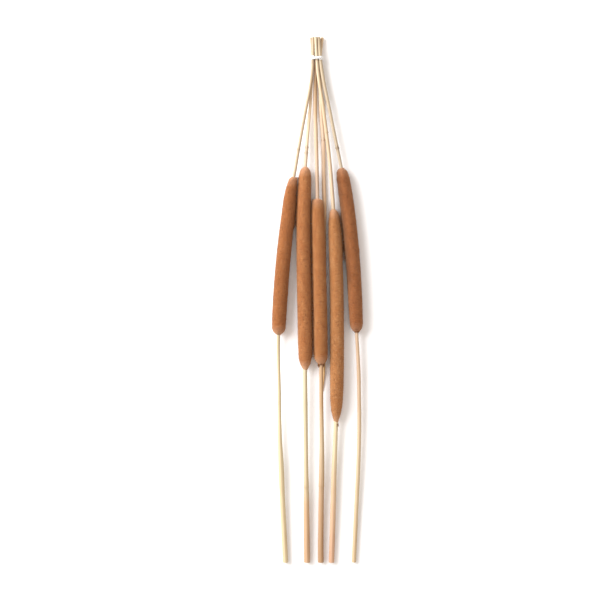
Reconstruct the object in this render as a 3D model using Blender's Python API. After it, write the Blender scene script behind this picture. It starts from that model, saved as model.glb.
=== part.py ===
"""Five dried cattails and one bare stem, held in a bunch by a wound white string.

The bunch lies on its surface. +Y points to the upper cut ends, +X to the right, +Z up. The origin
is on the surface under the middle of the bunch. Lengths are written in millimetres and turned into
metres by MM.
"""
import math

import bmesh
import bpy
from mathutils import Vector
from mathutils.geometry import convex_hull_2d

MM = 0.001

# Clear gap wherever two pieces touch
TOUCHING_GAP = 0.3

# How finely the round pieces are drawn
STEM_STATION_STEP = 17.0
STEM_BEVEL_RESOLUTION = 2
SPIKE_SIDES = 16
SPIKE_BODY_STEP = 20.0
SPIKE_KNOT_SPACE = 2.0
SPIKE_END_STATIONS = 4
BORE_STATIONS = 9

# The string of the tie
STRING_RADIUS = 0.5
STRING_PITCH = 1.08
STRING_TURNS = 3
STRING_POINTS_PER_TURN = 24
STRING_BEVEL_RESOLUTION = 1
TIE_HEIGHT_ON_BUNCH = 242.1
KNOT_HALF_LENGTH = 1.7
KNOT_LIFT = 1.75
KNOT_STRAND_OFFSET = 0.6
KNOT_STATIONS = 12
KNOT_LEAD_POINTS = 3

# Each stem is a list of points on its centre line, from the upper cut to the lower one, and a list
# of (place along the bunch, radius). Both are hand-set and smoothed in between.
STEM_ROUTES = {
    "stem_1": [
        (-4.2, 263.0, 5.9), (-4.3, 242.0, 5.9), (-6.0, 220.0, 6.1), (-10.7, 195.0, 6.4),
        (-18.2, 154.0, 6.9), (-23.4, 123.0, 7.1), (-26.3, 110.0, 7.2), (-29.0, 86.0, 7.3),
        (-33.0, 50.0, 7.4), (-36.1, 14.0, 7.4), (-38.6, -35.0, 7.2), (-37.7, -90.0, 6.2),
        (-36.6, -150.0, 5.0), (-31.4, -263.0, 2.4),
    ],
    "stem_2": [
        (-6.0, 263.0, 2.8), (-4.5, 242.0, 2.7), (-5.6, 220.0, 2.9), (-7.0, 195.0, 3.6),
        (-9.3, 170.0, 5.2), (-11.8, 133.0, 7.2), (-12.8, 110.0, 7.4), (-13.5, 85.0, 7.4),
        (-13.7, 50.0, 7.4), (-13.0, 0.0, 7.4), (-12.2, -40.0, 7.3), (-11.9, -70.0, 7.1),
        (-11.6, -102.0, 6.4), (-11.0, -150.0, 5.2), (-9.8, -263.0, 2.8),
    ],
    "stem_3": [
        (0.3, 263.0, 3.0), (-1.1, 242.0, 2.95), (-2.0, 220.0, 3.2), (-1.9, 190.0, 4.4),
        (-0.7, 150.0, 6.8), (0.3, 102.0, 8.6), (1.7, 55.0, 9.0), (3.0, 0.0, 9.3),
        (3.7, -45.0, 9.5), (3.9, -70.0, 9.2), (4.2, -106.0, 7.9), (4.7, -150.0, 6.3),
        (3.9, -210.0, 4.4), (3.5, -263.0, 2.8),
    ],
    "stem_4": [
        (-1.6, 263.0, 7.7), (-0.4, 242.0, 6.35), (1.8, 220.0, 6.4), (5.1, 200.0, 6.5),
        (8.3, 175.0, 6.6), (12.5, 140.0, 6.8), (16.2, 92.0, 7.0), (17.8, 62.0, 7.1),
        (19.4, 14.0, 7.3), (19.8, -40.0, 7.3), (19.6, -85.0, 7.1), (18.8, -126.0, 6.3),
        (17.0, -174.0, 5.0), (16.1, -210.0, 4.1), (14.5, -263.0, 2.7),
    ],
    "stem_5": [
        (1.5, 263.0, 6.4), (3.1, 242.0, 6.65), (6.3, 220.0, 6.6), (11.5, 195.0, 6.8),
        (18.4, 160.0, 7.1), (24.2, 132.0, 7.2), (27.7, 110.0, 7.3), (32.4, 74.0, 7.4),
        (35.7, 38.0, 7.4), (37.9, 2.0, 7.4), (39.5, -33.0, 7.1), (41.4, -70.0, 6.3),
        (42.3, -118.0, 5.2), (41.5, -160.0, 4.2), (39.3, -210.0, 3.1), (36.9, -263.0, 2.1),
    ],
    "bare_stem": [
        (5.4, 263.0, 3.0), (2.6, 242.0, 3.0), (3.4, 215.0, 2.7), (3.8, 190.0, 2.3),
        (5.9, 160.0, 2.0), (6.5, 125.0, 1.95), (7.3, 90.0, 1.9), (7.4, 50.0, 1.8),
        (7.4, 0.0, 1.6), (7.2, -65.0, 1.4), (5.6, -91.5, 0.6),
    ],
}
STEM_RADII = {
    "stem_1": [(263.0, 1.4), (242.0, 1.5), (150.0, 1.55), (-42.0, 1.45), (-100.0, 1.4),
               (-126.0, 1.65), (-150.0, 2.05), (-174.0, 2.3), (-263.0, 2.4)],
    "stem_2": [(263.0, 1.4), (242.0, 1.4), (150.0, 1.5), (-60.0, 1.8), (-102.0, 2.0),
               (-150.0, 1.85), (-183.0, 1.95), (-195.0, 2.4), (-263.0, 2.75)],
    "stem_3": [(263.0, 1.6), (242.0, 1.65), (190.0, 1.85), (-60.0, 1.95), (-106.0, 2.0),
               (-138.0, 2.2), (-152.0, 2.45), (-210.0, 2.7), (-263.0, 2.65)],
    "stem_4": [(263.0, 1.4), (242.0, 1.5), (150.0, 1.7), (-100.0, 2.05), (-140.0, 2.1),
               (-174.0, 2.45), (-222.0, 2.65), (-263.0, 2.65)],
    "stem_5": [(263.0, 1.5), (242.0, 1.6), (150.0, 1.65), (-46.0, 1.6), (-70.0, 1.7),
               (-135.0, 2.0), (-263.0, 2.1)],
    "bare_stem": [(263.0, 1.6), (242.0, 1.7), (190.0, 1.9), (125.0, 1.9), (50.0, 1.75),
                  (0.0, 1.5), (-65.0, 1.3), (-91.5, 0.4)],
}

# Each spike: where it starts and ends on its stem, the radius of its body along the way, and the
# lengths over which its upper shoulder and its lower foot are rounded off.
SPIKES = {
    "spike_1": {
        "stem": "stem_1", "top": 123.0, "bottom": -35.5, "shoulder": 3.0, "foot": 7.0,
        "body": [(123.0, 4.4), (117.0, 4.9), (110.0, 5.7), (100.0, 6.5), (80.0, 7.0), (50.0, 7.4),
                 (-15.0, 7.4), (-27.0, 7.0), (-35.5, 6.6)],
    },
    "spike_2": {
        "stem": "stem_2", "top": 133.5, "bottom": -71.0, "shoulder": 5.0, "foot": 14.0,
        "body": [(133.5, 5.1), (129.0, 5.3), (125.5, 6.0), (121.5, 6.7), (110.0, 7.05),
                 (50.0, 7.3), (-40.0, 7.3), (-55.0, 7.0), (-71.0, 6.4)],
    },
    "spike_3": {
        "stem": "stem_3", "top": 101.5, "bottom": -65.3, "shoulder": 3.0, "foot": 7.5,
        "body": [(101.5, 5.4), (91.0, 6.4), (75.0, 6.7), (0.0, 6.9), (-50.0, 6.9),
                 (-58.0, 6.7), (-65.3, 6.2)],
    },
    "spike_4": {
        "stem": "stem_4", "top": 91.5, "bottom": -124.8, "shoulder": 4.0, "foot": 22.0,
        "body": [(91.5, 3.7), (86.0, 4.6), (78.0, 5.9), (66.0, 6.7), (50.0, 6.9), (0.0, 7.15),
                 (-60.0, 7.2), (-88.0, 6.95), (-102.0, 6.5), (-110.0, 6.1), (-124.8, 5.7)],
    },
    "spike_5": {
        "stem": "stem_5", "top": 132.0, "bottom": -33.3, "shoulder": 4.5, "foot": 8.5,
        "body": [(132.0, 5.2), (128.0, 5.4), (125.0, 6.0), (121.0, 6.7), (107.0, 7.2),
                 (50.0, 7.35), (-5.0, 7.2), (-22.0, 6.8), (-33.3, 6.3)],
    },
}
SPIKE_END_BLUNTNESS = 0.75
SPIKE_RIM_WALL = 0.4

# Colours in linear light and roughness, as seen on the dry plant
FINISHES = {
    "stem_1": ((0.80, 0.66, 0.42), 0.55),
    "stem_2": ((0.78, 0.62, 0.38), 0.55),
    "stem_3": ((0.66, 0.46, 0.26), 0.60),
    "stem_4": ((0.76, 0.58, 0.34), 0.55),
    "stem_5": ((0.80, 0.68, 0.45), 0.55),
    "bare_stem": ((0.72, 0.52, 0.31), 0.60),
    "spike_1": ((0.42, 0.16, 0.065), 0.95),
    "spike_2": ((0.43, 0.17, 0.070), 0.95),
    "spike_3": ((0.43, 0.17, 0.070), 0.95),
    "spike_4": ((0.47, 0.20, 0.085), 0.95),
    "spike_5": ((0.36, 0.12, 0.050), 0.95),
    "tie": ((0.88, 0.88, 0.88), 0.80),
}


def clear_scene():
    """Start from an empty scene."""
    for obj in list(bpy.data.objects):
        bpy.data.objects.remove(obj, do_unlink=True)


def finish(name):
    """The piece's own plain material."""
    colour, roughness = FINISHES[name]
    material = bpy.data.materials.new(name)
    material.use_nodes = True
    shader = material.node_tree.nodes["Principled BSDF"]
    shader.inputs["Base Color"].default_value = (*colour, 1.0)
    shader.inputs["Roughness"].default_value = roughness
    shader.inputs["Metallic"].default_value = 0.0
    return material


def smooth(knots, place):
    """Value at a place along the bunch, on a smooth curve through (place, value) knots.

    The knots run from the upper end to the lower one. A value is a number or a Vector.
    """
    last = len(knots) - 1
    place = min(knots[0][0], max(knots[last][0], place))
    i = 0
    while i < last - 1 and place < knots[i + 1][0]:
        i += 1

    def slope(k):
        before, after = max(k - 1, 0), min(k + 1, last)
        return (knots[after][1] - knots[before][1]) / (knots[after][0] - knots[before][0])

    (start, value_a), (end, value_b) = knots[i], knots[i + 1]
    span = end - start
    t = (place - start) / span
    return (value_a * (2 * t**3 - 3 * t**2 + 1) + slope(i) * (span * (t**3 - 2 * t**2 + t))
            + value_b * (3 * t**2 - 2 * t**3) + slope(i + 1) * (span * (t**3 - t**2)))


def stem_centre(stem, place):
    """Centre of a stem at a place along the bunch, in millimetres."""
    return smooth([(y, Vector((x, y, z))) for x, y, z in STEM_ROUTES[stem]], place)


def stem_radius(stem, place):
    return smooth(STEM_RADII[stem], place)


def stations(upper, lower, step):
    """Evenly spaced places from the upper one to the lower one."""
    count = max(1, round((upper - lower) / step))
    return [upper + (lower - upper) * i / count for i in range(count + 1)]


def round_tube(name, points, radii, bevel_resolution):
    """A closed round tube along points in millimetres, with its radius at each of them."""
    curve = bpy.data.curves.new(name, "CURVE")
    curve.dimensions = "3D"
    curve.bevel_depth = MM
    curve.bevel_resolution = bevel_resolution
    curve.use_fill_caps = True
    spline = curve.splines.new("POLY")
    spline.points.add(len(points) - 1)
    for target, point, radius in zip(spline.points, points, radii):
        target.co = (*(point * MM), 1.0)
        target.radius = radius
    obj = bpy.data.objects.new(name, curve)
    bpy.context.collection.objects.link(obj)
    curve.materials.append(finish(name))
    return obj


def make_stem(name):
    """One culm, from cut to cut through its spike and the tie."""
    route = STEM_ROUTES[name]
    places = stations(route[0][1], route[-1][1], STEM_STATION_STEP)
    points = [stem_centre(name, place) for place in places]
    radii = [stem_radius(name, place) for place in places]
    round_tube(name, points, radii, STEM_BEVEL_RESOLUTION)


def rounding(distance, length):
    """Share of the full radius at a distance from the spike's end."""
    t = min(1.0, distance / length)
    return (1.0 - (1.0 - t) ** 2) ** SPIKE_END_BLUNTNESS


def bore_radius(spike, place):
    """Clear radius for the stem, measured at the corners of the many-sided bore."""
    clear = stem_radius(spike["stem"], place) + TOUCHING_GAP
    return clear / math.cos(math.pi / SPIKE_SIDES)


def spike_radius(spike, place):
    shoulder = rounding(spike["top"] - place, spike["shoulder"])
    foot = rounding(place - spike["bottom"], spike["foot"])
    radius = smooth(spike["body"], place) * shoulder * foot
    return max(radius, bore_radius(spike, place) + SPIKE_RIM_WALL)


def body_stations(spike):
    """Places along a spike between its rounded ends: the body's knots, and evenly between them."""
    upper = spike["top"] - spike["shoulder"]
    lower = spike["bottom"] + spike["foot"]
    knots = [place for place, _ in spike["body"]
             if lower + SPIKE_KNOT_SPACE < place < upper - SPIKE_KNOT_SPACE]
    places = [upper]
    for above, below in zip([upper] + knots, knots + [lower]):
        places += stations(above, below, SPIKE_BODY_STEP)[1:]
    return places


def spike_outline(spike):
    """The half section that is turned: down the outside, then back up inside the bore."""
    top, bottom = spike["top"], spike["bottom"]
    ends = SPIKE_END_STATIONS
    shoulder = [top - spike["shoulder"] * (i / ends) ** 2 for i in range(ends)]
    foot = [bottom + spike["foot"] * (i / ends) ** 2 for i in reversed(range(ends))]
    outside = [(spike_radius(spike, y), y) for y in shoulder + body_stations(spike) + foot]
    bore = [bottom + (top - bottom) * i / BORE_STATIONS for i in range(BORE_STATIONS + 1)]
    return outside + [(bore_radius(spike, y), y) for y in bore]


def lay_on_stem(stem, vertex_co):
    """Carry a point turned round the straight Y axis over to the stem's curved centre line."""
    place = vertex_co.y
    centre = stem_centre(stem, place)
    tangent = (stem_centre(stem, place + 1.0) - stem_centre(stem, place - 1.0)).normalized()
    side = tangent.cross(Vector((0.0, 0.0, 1.0))).normalized()
    up = side.cross(tangent)
    return centre + side * vertex_co.x + up * vertex_co.z


def make_spike(name):
    """A velvety flower spike: its half section spun round Y, then laid along its stem."""
    spike = SPIKES[name]
    mesh = bpy.data.meshes.new(name)
    bm = bmesh.new()
    corners = [bm.verts.new((radius, y, 0.0)) for radius, y in spike_outline(spike)]
    edges = [bm.edges.new((a, b)) for a, b in zip(corners, corners[1:] + corners[:1])]
    bmesh.ops.spin(bm, geom=corners + edges, cent=(0.0, 0.0, 0.0), axis=(0.0, 1.0, 0.0),
                   angle=2.0 * math.pi, steps=SPIKE_SIDES, use_merge=True)
    bmesh.ops.remove_doubles(bm, verts=bm.verts, dist=0.001)
    for vertex in bm.verts:
        vertex.co = lay_on_stem(spike["stem"], vertex.co) * MM
    bmesh.ops.recalc_face_normals(bm, faces=bm.faces)
    bm.to_mesh(mesh)
    bm.free()
    obj = bpy.data.objects.new(name, mesh)
    bpy.context.collection.objects.link(obj)
    mesh.shade_smooth()
    mesh.set_sharp_from_angle(angle=math.radians(60.0))
    mesh.materials.append(finish(name))


def bundle_outline(place):
    """The taut loop of string round the six strands at one place, as points in X and Z."""
    cloud = []
    for stem in STEM_ROUTES:
        centre = stem_centre(stem, place)
        reach = stem_radius(stem, place) + TOUCHING_GAP + STRING_RADIUS
        for i in range(24):
            angle = 2.0 * math.pi * i / 24
            cloud.append(Vector((centre.x + reach * math.cos(angle),
                                 centre.z + reach * math.sin(angle))))
    return [cloud[i] for i in convex_hull_2d(cloud)]


def start_at_top(loop):
    """The loop as a closed list that starts over its middle and runs clockwise from the top."""
    middle = sum(point.x for point in loop) / len(loop)
    if sum(a.x * b.y - b.x * a.y for a, b in zip(loop, loop[1:] + loop[:1])) > 0.0:
        loop = loop[::-1]
    for i, (a, b) in enumerate(zip(loop, loop[1:] + loop[:1])):
        if a.x <= middle < b.x:
            crossing = a.lerp(b, (middle - a.x) / (b.x - a.x))
            return [crossing] + loop[i + 1:] + loop[:i + 1] + [crossing]
    raise ValueError("the loop has no top")


def loop_point(place, share):
    """Point of the taut loop at a share of its length from the top."""
    loop = start_at_top(bundle_outline(place))
    lengths = [(b - a).length for a, b in zip(loop, loop[1:])]
    wanted = share * sum(lengths)
    for start, end, length in zip(loop, loop[1:], lengths):
        if wanted <= length:
            point = start.lerp(end, wanted / length if length else 0.0)
            return Vector((point.x, place, point.y))
        wanted -= length
    return Vector((loop[-1].x, place, loop[-1].y))


def string_route():
    """The whole string: one end, its half of the knot, the turns, the other half, the other end."""
    half_width = STRING_TURNS * STRING_PITCH / 2.0
    top = loop_point(TIE_HEIGHT_ON_BUNCH, 0.0)
    knot = top + Vector((0.0, 0.0, KNOT_LIFT))

    def knot_strand(direction):
        strand = []
        for i in range(KNOT_STATIONS + 1):
            t = i / KNOT_STATIONS
            angle = direction * (math.pi / 2.0 + 2.0 * math.pi * t)
            along = KNOT_HALF_LENGTH * (2.0 * t - 1.0) * direction
            strand.append(knot + Vector((along, KNOT_STRAND_OFFSET * math.cos(angle),
                                         KNOT_STRAND_OFFSET * math.sin(angle))))
        return strand

    turns = []
    total = STRING_TURNS * STRING_POINTS_PER_TURN
    for i in range(total + 1):
        share = i / STRING_POINTS_PER_TURN
        place = TIE_HEIGHT_ON_BUNCH - half_width + STRING_PITCH * share
        turns.append(loop_point(place, share % 1.0 if i < total else 1.0))

    first = knot_strand(1)
    second = knot_strand(-1)
    tail_one = [first[0] + Vector((-3.6, -4.2, -1.6)), first[0] + Vector((-1.4, -1.5, -0.5))]
    tail_two = [second[0] + Vector((1.4, 1.4, -0.3)), second[0] + Vector((3.0, 2.6, -0.9))]
    rise = [first[-1] + Vector((0.9, -0.9, -0.5))]
    fall = [second[-1] + Vector((-0.9, 0.9, 0.0))]
    turns = turns[KNOT_LEAD_POINTS:-KNOT_LEAD_POINTS]
    return tail_one + first + rise + turns + fall + second[::-1] + tail_two


def make_tie():
    """The wound string with its half knot, as one closed round tube."""
    points = string_route()
    round_tube("tie", points, [STRING_RADIUS] * len(points), STRING_BEVEL_RESOLUTION)


def main():
    clear_scene()
    for name in STEM_ROUTES:
        make_stem(name)
    for name in SPIKES:
        make_spike(name)
    make_tie()


main()
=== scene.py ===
# %% [markdown]
# # A tied bunch of dried cattails
# The bunch lies flat and is seen from above. Each cattail is one long thin stem that runs up through
# a brown flower spike, on as a thin bare top, and through a wound white string with its neighbours.
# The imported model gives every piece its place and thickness. This lesson dresses those pieces: ribbed
# stems with cut ends, velvety spikes made of thousands of flower tips, and a two-ply cotton string.

# %% Load the frame
import math

import bpy
import numpy as np
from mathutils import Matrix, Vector
from mathutils.geometry import convex_hull_2d


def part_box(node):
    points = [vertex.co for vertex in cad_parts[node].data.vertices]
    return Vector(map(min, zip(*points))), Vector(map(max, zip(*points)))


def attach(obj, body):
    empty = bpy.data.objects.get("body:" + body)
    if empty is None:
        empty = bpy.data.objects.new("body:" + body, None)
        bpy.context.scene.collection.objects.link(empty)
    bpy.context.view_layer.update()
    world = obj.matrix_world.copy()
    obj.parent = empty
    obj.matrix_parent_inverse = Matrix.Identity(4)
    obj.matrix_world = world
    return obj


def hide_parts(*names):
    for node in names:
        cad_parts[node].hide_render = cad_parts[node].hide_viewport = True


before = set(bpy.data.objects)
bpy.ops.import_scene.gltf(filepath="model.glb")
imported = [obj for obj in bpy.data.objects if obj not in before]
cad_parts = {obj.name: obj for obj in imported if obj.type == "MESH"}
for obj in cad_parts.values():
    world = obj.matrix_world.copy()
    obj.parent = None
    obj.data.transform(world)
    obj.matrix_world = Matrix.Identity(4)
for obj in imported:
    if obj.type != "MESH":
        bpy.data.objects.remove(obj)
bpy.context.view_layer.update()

MM = 0.001

# %% [markdown]
# ## The camera
# The picture was taken straight from above, so the camera looks down and its up is the bunch's length.
# A long lens keeps the outer stems from leaning. The bunch was a little right of the picture's middle.

# %% Camera
PICTURE_WIDTH = 600 * MM
PICTURE_MIDDLE_X = -17.2 * MM
MID_HEIGHT = 7.0 * MM
LENS_MM = 85.0
SENSOR_MM = 36.0

distance = PICTURE_WIDTH / 2 / (SENSOR_MM / 2 / LENS_MM)
bpy.ops.object.select_all(action="DESELECT")
bpy.ops.object.camera_add(location=(PICTURE_MIDDLE_X, 0.0, distance + MID_HEIGHT), rotation=(0, 0, 0))
camera = bpy.context.object
camera.data.lens = LENS_MM
camera.data.sensor_width = SENSOR_MM
bpy.context.scene.camera = camera
print("camera", round(distance, 3), "m above the bunch")

# %% [markdown]
# ## Colours and nodes
# A colour here is an sRGB hex value, but a shader works in linear light, so one function
# turns one into the other. A second one adds a shader node with its settings and its links.

# %% Colour and node helpers


def linear(hex_colour):
    """Linear RGBA from an sRGB hex value."""
    channels = [int(hex_colour[i:i + 2], 16) / 255 for i in (1, 3, 5)]
    return (*[c / 12.92 if c <= 0.04045 else ((c + 0.055) / 1.055) ** 2.4 for c in channels], 1.0)


def add_node(tree, kind, inputs=None, **settings):
    """A node with its settings; an input is a value, or a socket to link from."""
    node = tree.nodes.new(kind)
    for name, value in settings.items():
        setattr(node, name, value)
    for name, value in (inputs or {}).items():
        if isinstance(value, bpy.types.NodeSocket):
            tree.links.new(value, node.inputs[name])
        else:
            node.inputs[name].default_value = value
    return node


def new_material(name):
    """An empty node material and its Principled shader."""
    material = bpy.data.materials.new(name)
    material.use_nodes = True
    return material, material.node_tree, material.node_tree.nodes["Principled BSDF"]


print("mid grey #808080 in linear light:", round(linear("#808080")[0], 3))

# %% [markdown]
# ## Floor and light
# The bunch lies on plain white board. One big soft light stands low on the left, a little towards the
# tied end, and throws wide faint shadows to the right. A white world fills the shadows in.

# %% Floor, light and world
FLOOR_SIZE = 8.0
KEY_DISTANCE = 1.5
KEY_SIZE = 1.25
KEY_AZIMUTH = math.radians(153.0)
KEY_HEIGHT = math.radians(31.0)
KEY_WATTS = 48.0
FILL_STRENGTH = 0.86

bpy.ops.object.select_all(action="DESELECT")
bpy.ops.mesh.primitive_plane_add(size=FLOOR_SIZE, location=(0.0, 0.0, -0.02 * MM))
floor = bpy.context.object
floor.name = "floor"
bpy.ops.object.transform_apply(location=True, rotation=True, scale=True)

key_place = Vector((math.cos(KEY_AZIMUTH) * math.cos(KEY_HEIGHT),
                    math.sin(KEY_AZIMUTH) * math.cos(KEY_HEIGHT),
                    math.sin(KEY_HEIGHT))) * KEY_DISTANCE
bpy.ops.object.light_add(type="AREA", location=key_place)
key = bpy.context.object
key.data.shape = "SQUARE"
key.data.size = KEY_SIZE
key.data.energy = KEY_WATTS
key.data.color = linear("#FBFDFF")[:3]
key.rotation_euler = (-key_place).to_track_quat("-Z", "Y").to_euler()

world = bpy.context.scene.world or bpy.data.worlds.new("fill")
bpy.context.scene.world = world
world.use_nodes = True
background = world.node_tree.nodes["Background"]
background.inputs["Color"].default_value = linear("#FDF4E9")
background.inputs["Strength"].default_value = FILL_STRENGTH
bpy.context.scene.view_settings.view_transform = "Standard"
print("key light at", [round(c, 2) for c in key_place])

# %% [markdown]
# ## Reading the stems from the frame
# Every stem is a bowed tube. Cut across at one place, its outline gives the centre and the radius
# there. Sections along the whole stem, joined by a smooth curve, give a line to model along.

# %% Sections and smooth lines
SECTION_INSET = 0.3 * MM


def section(node, place):
    """Centre X, centre Z and outer radius of a round node where the plane Y = place cuts it."""
    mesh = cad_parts[node].data
    mesh.calc_loop_triangles()
    points = np.empty(len(mesh.vertices) * 3)
    mesh.vertices.foreach_get("co", points)
    points = points.reshape(-1, 3)
    corners = np.array([t.vertices[:] for t in mesh.loop_triangles])
    cuts = []
    for a, b in ((0, 1), (1, 2), (2, 0)):
        start, end = points[corners[:, a]], points[corners[:, b]]
        crossing = (start[:, 1] - place) * (end[:, 1] - place) < 0
        start, end = start[crossing], end[crossing]
        share = (place - start[:, 1]) / (end[:, 1] - start[:, 1])
        cuts.append(start + (end - start) * share[:, None])
    ring = np.concatenate(cuts)[:, (0, 2)]
    centre = ring.mean(axis=0)
    return centre[0], centre[1], np.linalg.norm(ring - centre, axis=1).max()


def read_line(node, step):
    """Places from the upper end to the lower one, and the node's section at each."""
    low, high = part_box(node)
    count = round((high[1] - low[1]) / step) + 1
    places = np.linspace(high[1] - SECTION_INSET, low[1] + SECTION_INSET, count)
    return places, np.array([section(node, place) for place in places])


def along(line, place):
    """Centre X, centre Z and radius at a place, on a smooth curve through the sections."""
    places, values = line
    step = places[1] - places[0]
    position = min(max((place - places[0]) / step, 0.0), len(places) - 1.001)
    i = int(position)
    t = position - i
    slopes = np.gradient(values, axis=0)
    return (values[i] * (2 * t**3 - 3 * t**2 + 1) + slopes[i] * (t**3 - 2 * t**2 + t)
            + values[i + 1] * (3 * t**2 - 2 * t**3) + slopes[i + 1] * (t**3 - t**2))


STEMS = ["stem_1", "stem_2", "stem_3", "stem_4", "stem_5", "bare_stem"]
SPIKES = ["spike_1", "spike_2", "spike_3", "spike_4", "spike_5"]
STEM_READ_STEP = 17.0 * MM
stem_lines = {name: read_line(name, STEM_READ_STEP) for name in STEMS}
for name in STEMS:
    print(name, "runs", round(abs(stem_lines[name][0][0] - stem_lines[name][0][-1]) / MM), "mm")

# %% [markdown]
# ## Growing a tube
# A stem or a spike could be a curve with a bevel, but its rings and cut ends would be hard to shape.
# Here a filled circle is extruded from station to station, as by hand, and each new end is resized to
# its radius. The cut end is the last face, so the shape is closed from the start.

# %% Grow a closed tube by extruding
FACE_THE_LENGTH = (math.pi / 2, 0.0, 0.0)
SMOOTH_ANGLE = math.radians(50.0)


def select_where(obj, test):
    """In edit mode, select only the faces whose centre and normal pass the test."""
    bpy.ops.mesh.select_all(action="DESELECT")
    bpy.ops.object.mode_set(mode="OBJECT")
    for face in obj.data.polygons:
        face.select = bool(test(face))
    bpy.ops.object.mode_set(mode="EDIT")


def grow(name, stations, sides):
    """A closed tube through (centre, radius) stations, left in edit mode with its last end selected."""
    bpy.ops.object.select_all(action="DESELECT")
    centre, radius = stations[0]
    bpy.ops.mesh.primitive_circle_add(vertices=sides, radius=radius, fill_type="NGON",
                                      location=centre, rotation=FACE_THE_LENGTH)
    obj = bpy.context.object
    obj.name = name
    obj.data.name = name
    bpy.ops.object.transform_apply(location=True, rotation=True, scale=True)
    bpy.ops.object.mode_set(mode="EDIT")
    bpy.ops.mesh.select_mode(type="FACE")
    bpy.ops.mesh.select_all(action="SELECT")
    for next_centre, next_radius in stations[1:]:
        bpy.ops.mesh.extrude_region_move(TRANSFORM_OT_translate={"value": next_centre - centre})
        bpy.ops.transform.resize(value=[next_radius / radius] * 3, center_override=next_centre)
        centre, radius = next_centre, next_radius
    return obj


def close_up(obj):
    """Leave edit mode with all faces pointing out and shaded smooth."""
    bpy.ops.mesh.select_all(action="SELECT")
    bpy.ops.mesh.normals_make_consistent(inside=False)
    bpy.ops.object.mode_set(mode="OBJECT")
    bpy.ops.object.shade_smooth_by_angle(angle=SMOOTH_ANGLE)
    bpy.ops.object.select_all(action="DESELECT")


def select_only(obj):
    """Make one object the only selected one and the active one."""
    bpy.ops.object.select_all(action="DESELECT")
    obj.select_set(True)
    bpy.context.view_layer.objects.active = obj


def apply_modifier(obj, kind, **settings):
    """Add a modifier and apply it at once."""
    select_only(obj)
    modifier = obj.modifiers.new(kind.lower(), kind)
    for setting, value in settings.items():
        setattr(modifier, setting, value)
    bpy.ops.object.modifier_apply(modifier=modifier.name)


print("a tube starts as a circle turned", round(math.degrees(FACE_THE_LENGTH[0])), "degrees about X")

# %% [markdown]
# ## The stems
# A dry cattail stem is a smooth pithy rod whose skin has shrunk on to fine lengthwise ribs. The tops
# carry small rings where little leaves fell off, and two stems keep the edge of an old leaf sheath in
# their lower part. Each end was cut straight through and shows pale spongy pith inside a thin hard rim. An
# extruded tube gives every station its own thickness, so rings, sheaths and the fuller lower part are
# only larger stations.

# %% Stem pieces
STEM_SIDES = 30
STEM_STATION = 6.0 * MM
RIB_DEPTH = 0.05
SIDES_PER_RIB = 3
RIM_WIDTH = 0.35 * MM
RIM_SLOPE_WIDTH = 0.105 * MM
PITH_DEPTH = 0.3 * MM
END_FACING = 0.7
PATTERN_RADIUS = 2.0 * MM
SCAR_HALF_LENGTH = 1.4 * MM
SCAR_SWELL = 1.24
SCAR_PROFILE = ((-1.0, 1.0), (-0.3, SCAR_SWELL), (0.15, SCAR_SWELL), (0.5, 1.0))
LEAF_SCARS = {
    "stem_1": [151 * MM], "stem_2": [153 * MM, 147.5 * MM], "stem_3": [],
    "stem_4": [168 * MM], "stem_5": [152 * MM], "bare_stem": [161 * MM],
}
# Where a sheath starts to stand out from the stem, and its edge.
SHEATHS = {"stem_2": (-150 * MM, -188 * MM), "stem_3": (-150 * MM, -187 * MM)}
SHEATH_SWELL = 1.09
SHEATH_LIP = 0.4 * MM
# How much wider the skin is below the spike, as a share of the stem's radius on each side.
LOWER_SWELL = {"stem_1": 0.16, "stem_2": 0.13, "stem_3": 0.0, "stem_4": 0.06, "stem_5": 0.06,
               "bare_stem": 0.0}
SWELL_START = 0.0
SWELL_FULL = -30.0 * MM


def skin_at(name, place):
    """Centre X, centre Z and radius of a stem's skin, a little fuller below its spike."""
    x, z, radius = along(stem_lines[name], place)
    extra = radius * np.interp(place, (SWELL_FULL, SWELL_START), (LOWER_SWELL[name], 0.0))
    radius += extra
    return x - extra, z + extra, radius


def stem_stations(name):
    """Stations along a stem, closer together at each leaf scar and at a sheath's edge."""
    read_places = stem_lines[name][0]
    top, bottom = read_places[0] + SECTION_INSET, read_places[-1] - SECTION_INSET
    places = set(np.linspace(top, bottom, round((top - bottom) / STEM_STATION)))
    scar_swells = {scar + offset * SCAR_HALF_LENGTH: swell
                   for scar in LEAF_SCARS[name] for offset, swell in SCAR_PROFILE}
    places |= set(scar_swells)
    if name in SHEATHS:
        sheath_start, sheath_edge = SHEATHS[name]
        places |= {sheath_edge, sheath_edge - SHEATH_LIP}
    stations = []
    for place in sorted(places, reverse=True):
        x, z, radius = skin_at(name, place)
        radius *= scar_swells.get(place, 1.0)
        if name in SHEATHS and sheath_edge <= place < sheath_start:
            share = (sheath_start - place) / (sheath_start - sheath_edge)
            radius *= 1.0 + (SHEATH_SWELL - 1.0) * share
        stations.append((Vector((x, place, max(z, radius))), radius))
    return stations


def hollow_end(obj, outward):
    """Inset the cut end and push its middle in, so that the pith sits below a rim."""
    select_where(obj, lambda face: (len(face.vertices) == STEM_SIDES
                                    and face.normal.y * outward > END_FACING))
    bpy.ops.mesh.inset(thickness=RIM_WIDTH, depth=0.0)
    bpy.ops.mesh.inset(thickness=RIM_SLOPE_WIDTH, depth=-PITH_DEPTH)


def make_ribs(obj, name):
    """Draw every third line of vertices in a little, all along the stem."""
    for vertex in obj.data.vertices:
        x, z = skin_at(name, vertex.co.y)[:2]
        angle = math.atan2(vertex.co.z - z, vertex.co.x - x)
        groove = round(angle / (2 * math.pi) * STEM_SIDES) % SIDES_PER_RIB == 0
        if groove:
            vertex.co.x += (x - vertex.co.x) * RIB_DEPTH
            vertex.co.z += (z - vertex.co.z) * RIB_DEPTH


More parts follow.
